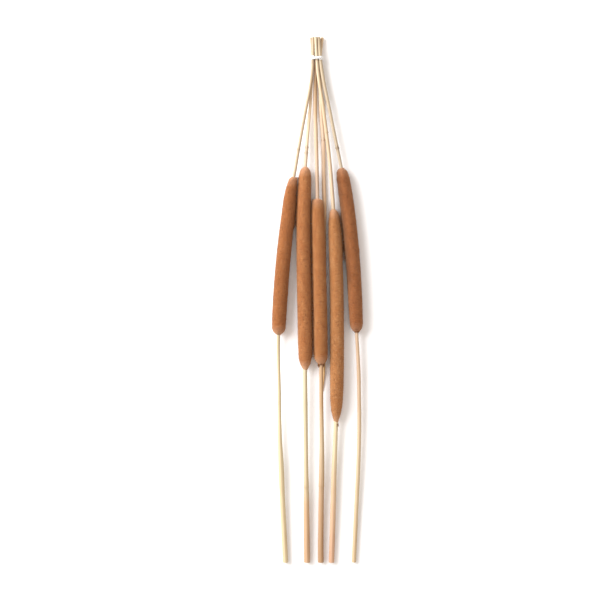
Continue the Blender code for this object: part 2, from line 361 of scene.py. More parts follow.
def wrap_skin(obj, name):
    """A UV map in metres: U round the stem, V along it, so that a pattern follows the skin."""
    layer = obj.data.uv_layers.new(name="skin")
    for face in obj.data.polygons:
        turns = []
        for index in face.vertices:
            co = obj.data.vertices[index].co
            x, z = skin_at(name, co.y)[:2]
            turns.append((math.atan2(co.z - z, co.x - x) / (2 * math.pi)) % 1.0)
        if max(turns) - min(turns) > 0.5:
            turns = [turn + 1.0 if turn < 0.5 else turn for turn in turns]
        for loop, turn in zip(face.loop_indices, turns):
            place = obj.data.vertices[obj.data.loops[loop].vertex_index].co.y
            layer.data[loop].uv = (turn * 2 * math.pi * PATTERN_RADIUS, place)


stem_pieces = {}
for name in STEMS:
    stations = stem_stations(name)
    obj = grow(name + "_skin", stations, STEM_SIDES)
    hollow_end(obj, 1)
    if name != "bare_stem":
        hollow_end(obj, -1)
    close_up(obj)
    make_ribs(obj, name)
    wrap_skin(obj, name)
    stem_pieces[name] = obj
print("stems:", [len(obj.data.polygons) for obj in stem_pieces.values()], "faces")

# %% [markdown]
# ## The spike bodies
# A spike is a solid roll of thousands of flowers packed against each other. Its body is grown like a
# stem, then subdivided and given the low lumps and dents that the imported flowers make. A bump in the
# material alone would leave the outline straight, so the lumps are moved into the mesh. The same cell
# settles where the velvet is paler at a spike's ends. It also settles where painted shade darkens the
# seams between two spikes, and where painted shadow darkens a side that a neighbour shades.

# %% Spike bodies
SPIKE_SIDES = 24
SPIKE_STATION = 5.0 * MM
SPIKE_LEVELS = 3
BODY_SINK = 0.35 * MM
LEAST_BODY_SHARE = 0.7
END_ZONE = 12.0 * MM
END_OFFSETS = (0.0, 0.3, 0.8, 1.5, 2.4, 3.5, 5.0, 7.0, 9.5)
LUMP_SIZE = 5.0 * MM
LUMP_HEIGHT = 0.35 * MM
DENT_SIZE = 1.1 * MM
DENT_HEIGHT = 0.3 * MM
# At the top and the foot: how far a narrowing reaches in mm, and the share of the radius at the end.
END_PINCH = {
    "spike_1": ((1.2, 0.85), (1.6, 0.8)), "spike_2": ((1.2, 0.85), (2.5, 0.78)),
    "spike_3": ((1.0, 0.9), (1.6, 0.85)), "spike_4": ((2.0, 0.8), (6.0, 0.72)),
    "spike_5": ((1.0, 0.9), (2.0, 0.8)),
}
# How near a neighbouring spike must be for painted shade in the seam, and for tips to grow into it.
CONTACT_REACH = 2.6 * MM
BLOOM_REACH = 11.0 * MM
# Strength of the pale bloom at the top and at the foot.
BLOOM = {"spike_1": (0.5, 0.6), "spike_2": (0.65, 0.95), "spike_3": (0.45, 0.6),
         "spike_4": (0.75, 0.75), "spike_5": (0.35, 0.4)}
# Spikes that lie side by side, so that painted shade goes into the seams between them.
LIES_AGAINST = {"spike_1": ["spike_2"], "spike_2": ["spike_1", "spike_3"], "spike_3": ["spike_2"],
                "spike_4": ["spike_5"], "spike_5": ["spike_4"]}
# Places along a spike in mm where its left side gets painted shadow from the spike beside it, and how deep
# at each.
FLANK_PAINTED_SHADOW = {"spike_3": ((80, 95, 120), (0.0, 0.4, 0.4)),
              "spike_5": ((-5, 20, 120, 140), (0.0, 0.7, 0.7, 0.3))}
FLANK_SHADOW_START = 0.1
FLANK_SHADOW_SPAN = 0.8

spike_lines = {}
for name in SPIKES:
    low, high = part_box(name)
    inner = np.arange(high[1] - END_ZONE, low[1] + END_ZONE, -SPIKE_STATION)
    ends = np.array(END_OFFSETS) * MM + SECTION_INSET
    places = np.concatenate([high[1] - ends, inner, (low[1] + ends)[::-1]])
    sections = np.array([section(name, place) for place in places])
    for end, (reach, share) in zip((places[0], places[-1]), END_PINCH[name]):
        sections[:, 2] *= np.interp(np.abs(places - end), (0.0, reach * MM), (share, 1.0))
    spike_lines[name] = (places, sections)


def spike_at(name, place):
    """Centre X, centre Z and radius of a spike, between its sections."""
    places, values = spike_lines[name]
    return [np.interp(place, places[::-1], values[::-1, column]) for column in range(3)]


def gap_beside(name, points):
    """Distance from points on a spike to the spikes that it lies against, up to the reach."""
    gap = np.full(len(points), CONTACT_REACH)
    for other in LIES_AGAINST[name]:
        x, z, radius = spike_at(other, points[:, 1])
        places = spike_lines[other][0]
        beside = (points[:, 1] < places[0]) & (points[:, 1] > places[-1])
        reach = np.hypot(points[:, 0] - x, points[:, 2] - z) - radius
        gap = np.where(beside, np.clip(reach, 0.0, gap), gap)
    return gap


def paint(mesh, name, points, tone, bloomy=1.0, dark=0.0):
    """Velvet attributes: a tone per tip; painted shade in seams and shaded flanks, or a tuft's own
    darkness; bloom at the ends.
    """
    x, z, radius = spike_at(name, points[:, 1])
    left = (x - points[:, 0]) / radius
    places, depths = FLANK_PAINTED_SHADOW.get(name, ((0.0,), (0.0,)))
    flank_shadow = (np.interp(points[:, 1] / MM, places, depths)
             * np.clip((left - FLANK_SHADOW_START) / FLANK_SHADOW_SPAN, 0.0, 1.0))
    places = spike_lines[name][0]
    top, foot = [share * np.clip(1.0 - np.abs(points[:, 1] - end) / BLOOM_REACH, 0.0, 1.0)
                 for share, end in zip(BLOOM[name], (places[0], places[-1]))]
    seam_shade = 1.0 - gap_beside(name, points) / CONTACT_REACH
    values = {"tone": tone, "shade": np.maximum(np.maximum(seam_shade, flank_shadow), dark),
              "bloom": (top + foot) * bloomy}
    for label, value in values.items():
        mesh.attributes.new(label, "FLOAT", "POINT").data.foreach_set("value", value)


def lumps(name, size):
    """A soft procedural texture for the Displace modifier."""
    texture = bpy.data.textures.new(name, "CLOUDS")
    texture.noise_scale = size
    texture.noise_depth = 1
    return texture


low_lumps = lumps("packed flowers", LUMP_SIZE)
fine_dents = lumps("flower tips", DENT_SIZE)


def make_spike_body(name):
    """A spike's solid roll of flowers, closed at both ends round the stem."""
    places, values = spike_lines[name]
    stations = [(Vector((x, place, z)), max(radius - BODY_SINK, LEAST_BODY_SHARE * radius))
                for place, (x, z, radius) in zip(places, values)]
    obj = grow(name + "_body", stations, SPIKE_SIDES)
    close_up(obj)
    apply_modifier(obj, "SUBSURF", levels=SPIKE_LEVELS, render_levels=SPIKE_LEVELS)
    apply_modifier(obj, "DISPLACE", texture=low_lumps, strength=LUMP_HEIGHT, mid_level=0.5,
                   texture_coords="LOCAL")
    apply_modifier(obj, "DISPLACE", texture=fine_dents, strength=DENT_HEIGHT, mid_level=0.5,
                   texture_coords="LOCAL")
    obj.data.shade_smooth()
    points = np.array([v.co[:] for v in obj.data.vertices])
    paint(obj.data, name, points, np.full(len(points), 0.5))
    return obj


spike_bodies = {name: make_spike_body(name) for name in SPIKES}
print("spike bodies:", [len(obj.data.polygons) for obj in spike_bodies.values()], "faces")

# %% [markdown]
# ## The velvet
# The nap of a spike is the tips of its flowers, each a stub thinner than a pin. Real ones are finer
# than the picture can show, so here there are fewer and they are thicker. Hair particles aren't mesh and
# would be lost when a piece is exported, so one small cone is modelled, and its copies are set out on a
# spiral, as flowers grow, and joined in one mesh.

# %% Flower tips in rows
NAP_COUNT = 11000
TIP_SIDES = 4
TIP_RADIUS = 0.27 * MM
TIP_HEIGHT = 0.75 * MM
TIP_LEAN = 0.35
TIP_ROOT = 0.25 * MM
TIP_HEIGHTS = (0.75, 1.15)
TIP_WIDTHS = (0.8, 1.2)
SEAM_REACH = 0.75
SLOPE_STEP = 0.4 * MM
NEARLY_LENGTHWISE = (0.0, 1.0, 0.001)
GOLDEN_ANGLE = math.pi * (3.0 - math.sqrt(5.0))
random = np.random.default_rng(11)


def cone_template(sides):
    """One cone of unit radius and height as points and faces, from a primitive."""
    bpy.ops.object.select_all(action="DESELECT")
    bpy.ops.mesh.primitive_cone_add(vertices=sides, radius1=1.0, radius2=0.0, depth=1.0,
                                    end_fill_type="NGON", location=(0.0, 0.0, 0.5))
    cone = bpy.context.object
    bpy.ops.object.transform_apply(location=True, rotation=True, scale=True)
    points = np.array([v.co[:] for v in cone.data.vertices])
    faces = [tuple(face.vertices) for face in cone.data.polygons]
    bpy.data.objects.remove(cone, do_unlink=True)
    return points, faces


def unit(vectors):
    """The same directions with a length of one."""
    return vectors / np.linalg.norm(vectors, axis=-1, keepdims=True)


def set_out(spike, suffix, template, feet, directions, radii, heights, bloomy=1.0, dark=0.0):
    """Cones set at their feet, each along its own direction, pressed flat where the spike lies."""
    name = spike + suffix
    points, faces = template
    across = unit(np.cross(directions, NEARLY_LENGTHWISE))
    around = np.cross(directions, across)
    spin = random.uniform(0, 2 * math.pi, len(feet))[:, None]
    side = across * np.cos(spin) + around * np.sin(spin)
    other = around * np.cos(spin) - across * np.sin(spin)
    local = points[None, :, :]
    placed = (feet[:, None, :]
              + side[:, None, :] * local[..., 0:1] * radii[:, None, None]
              + other[:, None, :] * local[..., 1:2] * radii[:, None, None]
              + directions[:, None, :] * local[..., 2:3] * heights[:, None, None])
    placed[..., 2] = np.maximum(placed[..., 2], 0.0)
    count = len(points)
    all_faces = [tuple(i + copy * count for i in face) for copy in range(len(feet)) for face in faces]
    mesh = bpy.data.meshes.new(name)
    mesh.from_pydata(placed.reshape(-1, 3).tolist(), [], all_faces)
    paint(mesh, spike, placed.reshape(-1, 3), np.repeat(random.uniform(0, 1, len(feet)), count),
          bloomy, dark)
    obj = bpy.data.objects.new(name, mesh)
    bpy.context.collection.objects.link(obj)
    select_only(obj)
    bpy.ops.object.mode_set(mode="EDIT")
    bpy.ops.mesh.select_all(action="SELECT")
    bpy.ops.mesh.normals_make_consistent(inside=False)
    bpy.ops.object.mode_set(mode="OBJECT")
    return obj


def on_spike(name, place, angle):
    """Points on a spike's surface, and the way out from it at each."""
    x, z, radius = spike_at(name, place)
    rise = spike_at(name, place + SLOPE_STEP)[2] - spike_at(name, place - SLOPE_STEP)[2]
    slope = rise / (2 * SLOPE_STEP)
    out = np.stack([np.cos(angle), -slope, np.sin(angle)], axis=1)
    rim = np.stack([x + radius * np.cos(angle), place, z + radius * np.sin(angle)], axis=1)
    return rim, unit(out)


tip_shape = cone_template(TIP_SIDES)


def make_nap(name):
    """The velvet of one spike."""
    places, values = spike_lines[name]
    radii = values[:, 2]
    slant = np.hypot(np.diff(places), np.diff(radii))
    area = np.concatenate([[0.0], np.cumsum(slant * (radii[:-1] + radii[1:]))])
    order = np.arange(NAP_COUNT) + 0.5
    place = np.interp(order / NAP_COUNT * area[-1], area, places)
    rim, out = on_spike(name, place, order * GOLDEN_ANGLE)
    lean = random.normal(0.0, TIP_LEAN, (NAP_COUNT, 3))
    directions = unit(out + lean)
    heights = TIP_HEIGHT * random.uniform(*TIP_HEIGHTS, NAP_COUNT)
    gap = gap_beside(name, rim)
    heights = np.where(gap < CONTACT_REACH, np.maximum(heights, BODY_SINK + TIP_ROOT + gap * SEAM_REACH),
                       heights)
    radii = TIP_RADIUS * random.uniform(*TIP_WIDTHS, NAP_COUNT)
    feet = rim - out * (BODY_SINK + TIP_ROOT)
    return set_out(name, "_nap", tip_shape, feet, directions, radii, heights)


spike_naps = {name: make_nap(name) for name in SPIKES}
print("flower tips:", NAP_COUNT * len(SPIKES))

# %% [markdown]
# ## Frayed feet
# Where a spike ends on its stem, a few of its lowest flowers hang loose in small dark tufts. They are
# the same cones, longer and thinner, laid down along the stem in a few bunches instead of all round.

# %% Loose tufts
TUFTS = {
    "spike_1": [(100, 0.4, 14, 0.9)],
    "spike_2": [(60, 0.3, 10, 0.8)],
    "spike_3": [(168, 0.4, 46, 4.0), (8, 0.4, 52, 4.0), (90, 0.4, 14, 1.2)],
    "spike_4": [(30, 0.8, 16, 5.0), (15, 0.6, 12, 3.4), (75, 3.0, 10, 1.0)],
    "spike_5": [(62, 1.0, 26, 1.9), (135, 0.8, 22, 1.7), (95, 3.2, 10, 1.1)],
}
DOWN_THE_STEM = np.array([0.0, -1.0, 0.0])
TUFT_SPREAD = math.radians(16.0)
TUFT_DEPTH = 1.2
TUFT_ROOT = 0.4 * MM
TUFT_LEAN = (-0.1, 0.3)
TUFT_UNRULY = 0.12
TUFT_LENGTHS = (0.4, 1.0)
TUFT_WIDTHS = (0.7, 1.4)
TUFT_RADIUS = 0.24 * MM
TUFT_DARK = 0.15


def make_tufts(name):
    """Loose flower tips at the foot of one spike; a tuft is its angle, height, tip count and length."""
    feet, directions, heights = [], [], []
    foot = spike_lines[name][0][-1]
    for degrees, above, count, length in TUFTS[name]:
        place = foot + (above + random.uniform(0.0, TUFT_DEPTH, count)) * MM
        angle = math.radians(degrees) + random.normal(0.0, TUFT_SPREAD, count)
        rim, out = on_spike(name, place, angle)
        feet.append(rim - out * TUFT_ROOT)
        outward = out * random.uniform(*TUFT_LEAN, count)[:, None]
        unruly = random.normal(0.0, TUFT_UNRULY, (count, 3))
        directions.append(unit(DOWN_THE_STEM + outward + unruly))
        heights.append(length * MM * random.uniform(*TUFT_LENGTHS, count))
    feet, directions, heights = [np.concatenate(part) for part in (feet, directions, heights)]
    radii = TUFT_RADIUS * random.uniform(*TUFT_WIDTHS, len(feet))
    return set_out(name, "_tufts", tip_shape, feet, directions, radii, heights, 0.0, TUFT_DARK)


spike_tufts = {name: make_tufts(name) for name in SPIKES}
print("loose tips:", sum(tuft[2] for tufts in TUFTS.values() for tuft in tufts))

# %% [markdown]
# ## The string
# The bunch is held by a white cotton string, wound three times and closed with a half knot. A taut
# string follows the outline of what it holds, so its path is the hull round the six stems, and each
# turn climbs to the next where it crosses the top. The knot and the short ends are placed at listed steps.

# %% The string's path
STRING_RADIUS = 0.5 * MM
STRING_CLEARANCE = 0.3 * MM
STRING_PITCH = 1.3 * MM
CLIMB_SHARE = 0.18
STRING_TURNS = 3
STRING_POINTS_PER_TURN = 24
TIE_PLACE = 242.1 * MM
KNOT_HALF_LENGTH = 1.7 * MM
KNOT_DROP = 0.35 * MM
KNOT_LIFT = 1.5 * MM
KNOT_STRAND_OFFSET = 0.85 * MM
KNOT_STATIONS = 12
KNOT_LEAD_POINTS = 2
HULL_CORNERS = 24
# Steps in mm from the knot's sides: the two loose ends, and the way down to the turns.
LEFT_TAIL = ((-4.7, -4.9, -3.4), (-5.5, -3.5, -2.7), (-3.6, -1.6, -1.3), (-1.5, -0.4, -0.3))
RIGHT_TAIL = ((1.2, 0.2, -0.3), (2.6, 0.5, -0.9))
KNOT_RISE = ((0.8, -0.5, -0.4),)
KNOT_FALL = ((-0.8, 0.5, -0.1),)


def loop_point(place, share):
    """Point of the taut loop at a share of its length, clockwise from the middle of its top."""
    cloud = []
    for name in STEMS:
        x, z, radius = along(stem_lines[name], place)
        reach = radius + STRING_CLEARANCE + STRING_RADIUS
        for i in range(HULL_CORNERS):
            angle = 2 * math.pi * i / HULL_CORNERS
            cloud.append(Vector((x + reach * math.cos(angle), z + reach * math.sin(angle))))
    loop = [cloud[i] for i in convex_hull_2d(cloud)]
    middle = sum(point.x for point in loop) / len(loop)
    if sum(a.x * b.y - b.x * a.y for a, b in zip(loop, loop[1:] + loop[:1])) > 0.0:
        loop = loop[::-1]
    first = next(i for i in range(len(loop)) if loop[i - 1].x <= middle < loop[i].x)
    start, end = loop[first - 1], loop[first]
    crossing = start.lerp(end, (middle - start.x) / (end.x - start.x))
    loop = [crossing] + loop[first:] + loop[:first] + [crossing]
    lengths = [(b - a).length for a, b in zip(loop, loop[1:])]
    wanted = share * sum(lengths)
    for start, end, length in zip(loop, loop[1:], lengths):
        if wanted <= length:
            point = start.lerp(end, wanted / length if length else 0.0)
            return Vector((point.x, place, point.y))
        wanted -= length
    return Vector((loop[-1].x, place, loop[-1].y))


def knot_strand(knot, direction):
    """One string's turn round the other, from side to side of the knot."""
    strand = []
    for i in range(KNOT_STATIONS + 1):
        t = i / KNOT_STATIONS
        angle = direction * (math.pi / 2 + 2 * math.pi * t)
        reach = KNOT_HALF_LENGTH * (2 * t - 1) * direction
        strand.append(knot + Vector((reach, KNOT_STRAND_OFFSET * math.cos(angle),
                                     KNOT_STRAND_OFFSET * math.sin(angle))))
    return strand


def steps_from(point, steps):
    """Points at listed steps in millimetres from a point."""
    return [point + Vector(step) * MM for step in steps]


def string_path():
    """The whole string: one end, half the knot, the turns, the other half, the other end."""
    half_width = STRING_TURNS * STRING_PITCH / 2
    knot = loop_point(TIE_PLACE - KNOT_DROP, 0.0) + Vector((0.0, 0.0, KNOT_LIFT))
    turns = []
    total = STRING_TURNS * STRING_POINTS_PER_TURN
    for i in range(total + 1):
        turn, share = divmod(i / STRING_POINTS_PER_TURN, 1.0)
        climb = np.interp(share, (0.0, CLIMB_SHARE, 1.0 - CLIMB_SHARE, 1.0), (0.0, 0.5, 0.5, 1.0))
        turns.append(loop_point(TIE_PLACE - half_width + STRING_PITCH * (turn + climb), share))
    turns = turns[KNOT_LEAD_POINTS:-KNOT_LEAD_POINTS]
    first, second = knot_strand(knot, 1), knot_strand(knot, -1)
    return (steps_from(first[0], LEFT_TAIL) + first + steps_from(first[-1], KNOT_RISE) + turns
            + steps_from(second[-1], KNOT_FALL) + second[::-1] + steps_from(second[0], RIGHT_TAIL))


path = string_path()
print("string:", round(sum((b - a).length for a, b in zip(path, path[1:])) / MM), "mm long")

# %% [markdown]
# ## The twisted plies
# Cotton string is two soft plies laid round each other, which gives it a slanting ripple. A curve with a
# round bevel is made for each ply. Its points circle the string's path as they move along it, and the
# frame they circle in is carried on from point to point, so that the twist stays even in the knot.

# %% The twisted plies
PLY_RADIUS = 0.3 * MM
PLY_OFFSET = 0.235 * MM
TWIST_PITCH = 2.3 * MM
PLY_STEP = 0.22 * MM
FIRST_SIDE = (0.3, 0.5, 0.8)


def even_points(points, step):
    """Points at an even step along a smooth curve through the given ones."""
    coords = np.array([p[:] for p in points])
    lengths = np.concatenate([[0.0], np.cumsum(np.linalg.norm(np.diff(coords, axis=0), axis=1))])
    slopes = np.gradient(coords, lengths, axis=0)
    placed = []
    for s in np.arange(0.0, lengths[-1], step):
        i = min(int(np.searchsorted(lengths, s, side="right")) - 1, len(coords) - 2)
        span = lengths[i + 1] - lengths[i]
        t = (s - lengths[i]) / span
        placed.append(coords[i] * (2 * t**3 - 3 * t**2 + 1) + slopes[i] * span * (t**3 - 2 * t**2 + t)
                      + coords[i + 1] * (3 * t**2 - 2 * t**3) + slopes[i + 1] * span * (t**3 - t**2))
    return np.array(placed)


def make_string():
    """Two plies twisted round the string's path, as one mesh."""
    centres = even_points(path, PLY_STEP)
    tangents = unit(np.gradient(centres, axis=0))
    curve = bpy.data.curves.new("tie_string", "CURVE")
    curve.dimensions = "3D"
    curve.bevel_depth = PLY_RADIUS
    curve.bevel_resolution = 2
    curve.use_fill_caps = True
    normal = unit(np.cross(tangents[0], FIRST_SIDE))
    normals = []
    for tangent in tangents:
        normal = unit(normal - tangent * np.dot(normal, tangent))
        normals.append(normal)
    normals = np.array(normals)
    binormals = np.cross(tangents, normals)
    turn = (np.arange(len(centres)) * PLY_STEP / TWIST_PITCH * 2 * math.pi)[:, None]
    for half in (0.0, math.pi):
        offset = normals * np.cos(turn + half) + binormals * np.sin(turn + half)
        spline = curve.splines.new("POLY")
        spline.points.add(len(centres) - 1)
        for point, co in zip(spline.points, centres + offset * PLY_OFFSET):
            point.co = (*co, 1.0)
    obj = bpy.data.objects.new("tie_string", curve)
    bpy.context.collection.objects.link(obj)
    select_only(obj)
    bpy.ops.object.convert(target="MESH")
    obj = bpy.context.object
    obj.data.shade_smooth()
    bpy.ops.object.select_all(action="DESELECT")
    return obj


string = make_string()
print("string faces:", len(string.data.polygons))

# %% [markdown]
# ## Finishes
# Dried cattail flowers are dry plant fibre: matte, a warm brown that is redder in the gaps than on
# the tips, with a little sheen where light grazes the nap. One flat brown would look like paint, so the
# colour is built in layers: grain, soft mottling, single pale and dark tips, and bloom. Painted shade
# adds dark specks for small pits and darker seams and flanks where neighbours shade a spike.

# %% Dried flower velvet
# A real flower tip is about 0.2 mm across, too fine to show here, so the grain is drawn coarser.
FINE_TIP = 0.9 * MM
MOTTLE = 7.0 * MM
MOTTLE_STRETCH = (1.0, 0.45, 1.0)
MOTTLE_AMOUNT = 0.16
PIT_SPACING = 1.9 * MM
# Dark specks for small pits in the nap: painted shade, since the pits themselves aren't modelled.
PIT_SHADE_COLOUR = "#4A2814"
# Painted shade for the seams between spikes and for shaded flanks; the loose tufts also take it as their
# own darker brown.
SEAM_SHADE_AND_TUFT_BROWN = "#2A1006"
BLOOM_COLOUR = "#C8A084"


def flower_velvet(name, tip_hex, deep_hex, pale_hex):
    """Brown plant velvet, dried as it grew: deep between the tips, paler at the ends, with painted shade
    in pits, seams and shaded flanks.
    """
    material, tree, shader = new_material(name)
    coords = add_node(tree, "ShaderNodeTexCoord").outputs["Object"]
    stretch = add_node(tree, "ShaderNodeMapping", {"Vector": coords, "Scale": MOTTLE_STRETCH})
    patches = add_node(tree, "ShaderNodeTexNoise", {"Vector": stretch.outputs[0], "Scale": 1 / MOTTLE,
                                                    "Detail": 3.0, "Roughness": 0.55})
    grain = add_node(tree, "ShaderNodeTexNoise", {"Vector": coords, "Scale": 1 / FINE_TIP,
                                                  "Detail": 2.0, "Roughness": 0.6})
    patch_share = add_node(tree, "ShaderNodeMapRange", {"Value": patches.outputs["Fac"], "From Min": 0.3,
                                                        "From Max": 0.7})
    grain_share = add_node(tree, "ShaderNodeMapRange", {"Value": grain.outputs["Fac"], "From Min": 0.35,
                                                        "From Max": 0.7})
    base = add_node(tree, "ShaderNodeMix", {0: grain_share.outputs[0], 6: linear(deep_hex),
                                            7: linear(tip_hex)}, data_type="RGBA")
    patch_amount = add_node(tree, "ShaderNodeMath", {0: patch_share.outputs[0], 1: MOTTLE_AMOUNT},
                            operation="MULTIPLY")
    mottled = add_node(tree, "ShaderNodeMix", {0: patch_amount.outputs[0], 6: base.outputs[2],
                                               7: linear(pale_hex)}, data_type="RGBA")
    cells = add_node(tree, "ShaderNodeTexVoronoi", {"Vector": coords, "Scale": 1 / PIT_SPACING})
    chance = add_node(tree, "ShaderNodeSeparateColor", {0: cells.outputs["Color"]})
    near = add_node(tree, "ShaderNodeMapRange", {"Value": cells.outputs["Distance"], "From Min": 0.55,
                                                 "From Max": 0.25})
    tone = add_node(tree, "ShaderNodeAttribute", attribute_name="tone")
    shade = add_node(tree, "ShaderNodeAttribute", attribute_name="shade")
    bloom = add_node(tree, "ShaderNodeAttribute", attribute_name="bloom")
    # Each layer: what drives it, where it starts and is full, how strong it gets, and its colour.
    layers = [
        # Dark specks: painted shade in small pits.
        (chance.outputs[0], 0.6, 0.9, 0.5, PIT_SHADE_COLOUR),
        (chance.outputs[1], 0.65, 1.0, 0.25, pale_hex),
        (tone.outputs["Fac"], 0.25, 0.0, 0.5, deep_hex),
        (tone.outputs["Fac"], 0.78, 1.0, 0.6, pale_hex),
        (bloom.outputs["Fac"], 0.0, 1.0, 0.8, BLOOM_COLOUR),
        # Painted shade and shadow from the shade attribute, and the tufts' own darker brown.
        (shade.outputs["Fac"], 0.1, 1.0, 0.9, SEAM_SHADE_AND_TUFT_BROWN),
    ]
    colour = mottled.outputs[2]
    for source, low, high, amount, target in layers:
        share = add_node(tree, "ShaderNodeMapRange", {"Value": source, "From Min": low, "From Max": high,
                                                      "To Max": amount}).outputs[0]
        if source.node == chance:
            share = add_node(tree, "ShaderNodeMath", {0: share, 1: near.outputs[0]},
                             operation="MULTIPLY").outputs[0]
        colour = add_node(tree, "ShaderNodeMix", {0: share, 6: colour, 7: linear(target)},
                          data_type="RGBA").outputs[2]
    bump = add_node(tree, "ShaderNodeBump", {"Height": grain.outputs["Fac"], "Strength": 0.35,
                                             "Distance": 0.3 * MM})
    tree.links.new(colour, shader.inputs["Base Color"])
    tree.links.new(bump.outputs[0], shader.inputs["Normal"])
    shader.inputs["Roughness"].default_value = 0.95
    shader.inputs["Specular IOR Level"].default_value = 0.15
    shader.inputs["Sheen Weight"].default_value = 0.55
    shader.inputs["Sheen Roughness"].default_value = 0.5
    shader.inputs["Sheen Tint"].default_value = linear("#F8DAB8")
    return material


SPIKE_COLOURS = {
    "spike_1": ("#985C31", "#744221", "#C18757"),
    "spike_2": ("#A36639", "#7D4A29", "#CF9B69"),
    "spike_3": ("#A06638", "#7A4827", "#CC9764"),
    "spike_4": ("#A86E40", "#83532D", "#D5A779"),
    "spike_5": ("#91572F", "#6F3E21", "#BD8355"),
}
for name in SPIKES:
    velvet = flower_velvet("dried flower velvet " + name[-1], *SPIKE_COLOURS[name])
    for obj in (spike_bodies[name], spike_naps[name]):
        obj.data.materials.append(velvet)
frayed = flower_velvet("loose dried flowers", "#7E4E2E", "#5A3219", "#9A7048")
for obj in spike_tufts.values():
    obj.data.materials.append(frayed)
print("velvet: grain of", round(FINE_TIP / MM, 2), "mm, pits every", round(PIT_SPACING / MM, 2), "mm")

# %% [markdown]
# ## Stem skin and pith
# The stems are dried plant skin, a little glossy like straw. They are pale cream near the spikes and
# turn tan towards the lower cut, with fine streaks that run with the ribs. Near the tie and where a stem
# lies under a neighbour, its colour is lighter: painted light that makes up for the shade there. The
# streaks need to follow the skin, so they read a UV map in metres, and the slow change of colour reads
# the place along Y.

# %% Dried stem skin and pith
STREAK_WIDTH = 0.5 * MM
STREAK_LENGTH = 28.0 * MM
STREAK_SHADE = "#D2B08A"
SKIN_ROUGHNESS = 0.5
SKIN_IOR = 1.45
BLOTCH = 16.0 * MM
BLOTCH_SHIFT = 30.0 * MM
STEM_TOP = 263.0 * MM
STEM_FOOT = -263.0 * MM
SCAR_COLOUR = "#5E4226"
SCAR_REACH = 2.8 * MM
SCAR_CORE = 0.8 * MM
SCAR_STRENGTH = {"stem_1": 0.2, "stem_2": 0.45, "stem_3": 0.0, "stem_4": 0.2, "stem_5": 0.9,
                 "bare_stem": 0.35}
# Real pith cells are about 0.2 mm across and are drawn coarser, to show at the cuts.
PITH_CELL = 0.5 * MM


def stem_skin(name, stops, scars, strength):
    """Sun-dried skin, glossy like straw, its colour changing along the stem with painted light in shaded
    stretches; brown at leaf scars.
    """
    material, tree, shader = new_material(name)
    skin = add_node(tree, "ShaderNodeUVMap", uv_map="skin").outputs[0]
    coords = add_node(tree, "ShaderNodeTexCoord").outputs["Object"]
    stretched = add_node(tree, "ShaderNodeMapping", {
        "Vector": skin, "Scale": (1 / STREAK_WIDTH, 1 / STREAK_LENGTH, 1.0)})
    streaks = add_node(tree, "ShaderNodeTexNoise", {"Vector": stretched.outputs[0], "Scale": 1.0,
                                                    "Detail": 3.0, "Roughness": 0.6})
    blotches = add_node(tree, "ShaderNodeTexNoise", {"Vector": coords, "Scale": 1 / BLOTCH,
                                                     "Detail": 2.0})
    place = add_node(tree, "ShaderNodeSeparateXYZ", {0: coords})
    shift = add_node(tree, "ShaderNodeMath", {0: blotches.outputs["Fac"], 1: BLOTCH_SHIFT,
                                              2: place.outputs["Y"]}, operation="MULTIPLY_ADD")
    share = add_node(tree, "ShaderNodeMapRange", {
        "Value": shift.outputs[0], "From Min": STEM_TOP, "From Max": STEM_FOOT})
    ramp = add_node(tree, "ShaderNodeValToRGB", {0: share.outputs[0]})
    points = ramp.color_ramp.elements
    for number, (stop, colour) in enumerate(stops):
        position = (STEM_TOP - stop * MM) / (STEM_TOP - STEM_FOOT)
        point = points[number] if number < 2 else points.new(position)
        point.position = position
        point.color = linear(colour)
    streak_share = add_node(tree, "ShaderNodeMapRange", {
        "Value": streaks.outputs["Fac"], "From Min": 0.48, "From Max": 0.78, "To Max": 0.6})
    darker = add_node(tree, "ShaderNodeMix", {0: 1.0, 6: ramp.outputs[0], 7: linear(STREAK_SHADE)},
                      data_type="RGBA", blend_type="MULTIPLY")
    colour = add_node(tree, "ShaderNodeMix", {0: streak_share.outputs[0], 6: ramp.outputs[0],
                                              7: darker.outputs[2]}, data_type="RGBA")
    patchy = add_node(tree, "ShaderNodeMapRange", {"Value": streaks.outputs["Fac"], "From Min": 0.4,
                                                   "From Max": 0.62, "To Max": strength})
    for scar in scars:
        gap = add_node(tree, "ShaderNodeMath", {0: place.outputs["Y"], 1: scar}, operation="SUBTRACT")
        away = add_node(tree, "ShaderNodeMath", {0: gap.outputs[0]}, operation="ABSOLUTE")
        near = add_node(tree, "ShaderNodeMapRange", {"Value": away.outputs[0], "From Min": SCAR_REACH,
                                                     "From Max": SCAR_CORE})
        brown = add_node(tree, "ShaderNodeMath", {0: near.outputs[0], 1: patchy.outputs[0]},
                         operation="MULTIPLY")
        colour = add_node(tree, "ShaderNodeMix", {0: brown.outputs[0], 6: colour.outputs[2],
                                                  7: linear(SCAR_COLOUR)}, data_type="RGBA")
    bump = add_node(tree, "ShaderNodeBump", {"Height": streaks.outputs["Fac"], "Strength": 0.3,
                                             "Distance": 0.15 * MM})
    tree.links.new(colour.outputs[2], shader.inputs["Base Color"])
    tree.links.new(bump.outputs[0], shader.inputs["Normal"])
    shader.inputs["Roughness"].default_value = SKIN_ROUGHNESS
    shader.inputs["IOR"].default_value = SKIN_IOR
    return material


